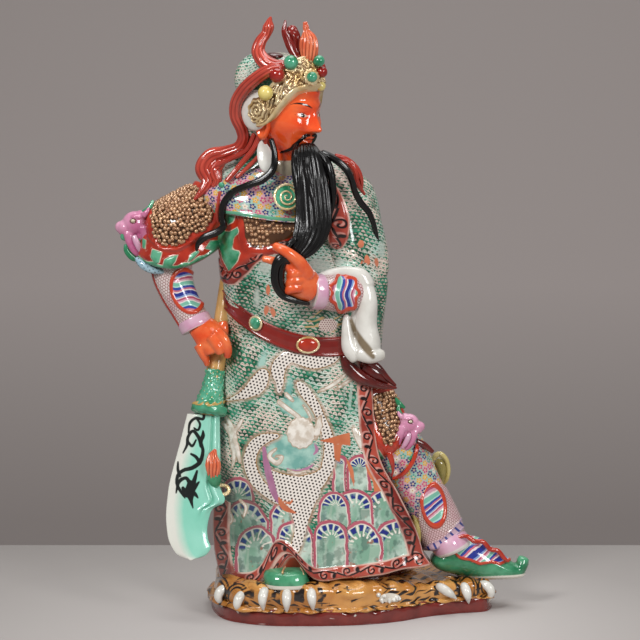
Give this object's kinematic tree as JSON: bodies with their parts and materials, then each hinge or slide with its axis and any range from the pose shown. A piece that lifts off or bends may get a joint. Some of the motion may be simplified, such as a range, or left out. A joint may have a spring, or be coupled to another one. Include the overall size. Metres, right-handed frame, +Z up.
{
  "type": "glazed porcelain figure of a standing bearded general",
  "caption": "Glazed porcelain figure of a bearded general in robe and armour, hand on a lowered glaive, on an integral plinth draped with a tiger skin.",
  "frame": {"origin": "centre of the bounding box's footprint, on the surface that the plinth stands on", "axes": "+Z up from the plinth to the hat, -Y the way the figure's chest faces, +X the way its stepping left foot points"},
  "size_m": [0.4068, 0.1936, 0.5886],
  "materials": {
    "glazed_porcelain": "glossy overglaze enamels in green, red, black, white and gold"
  },
  "bodies": {
    "root": {"guan_yu_statue": "glazed_porcelain"}
  },
  "joints": []
}
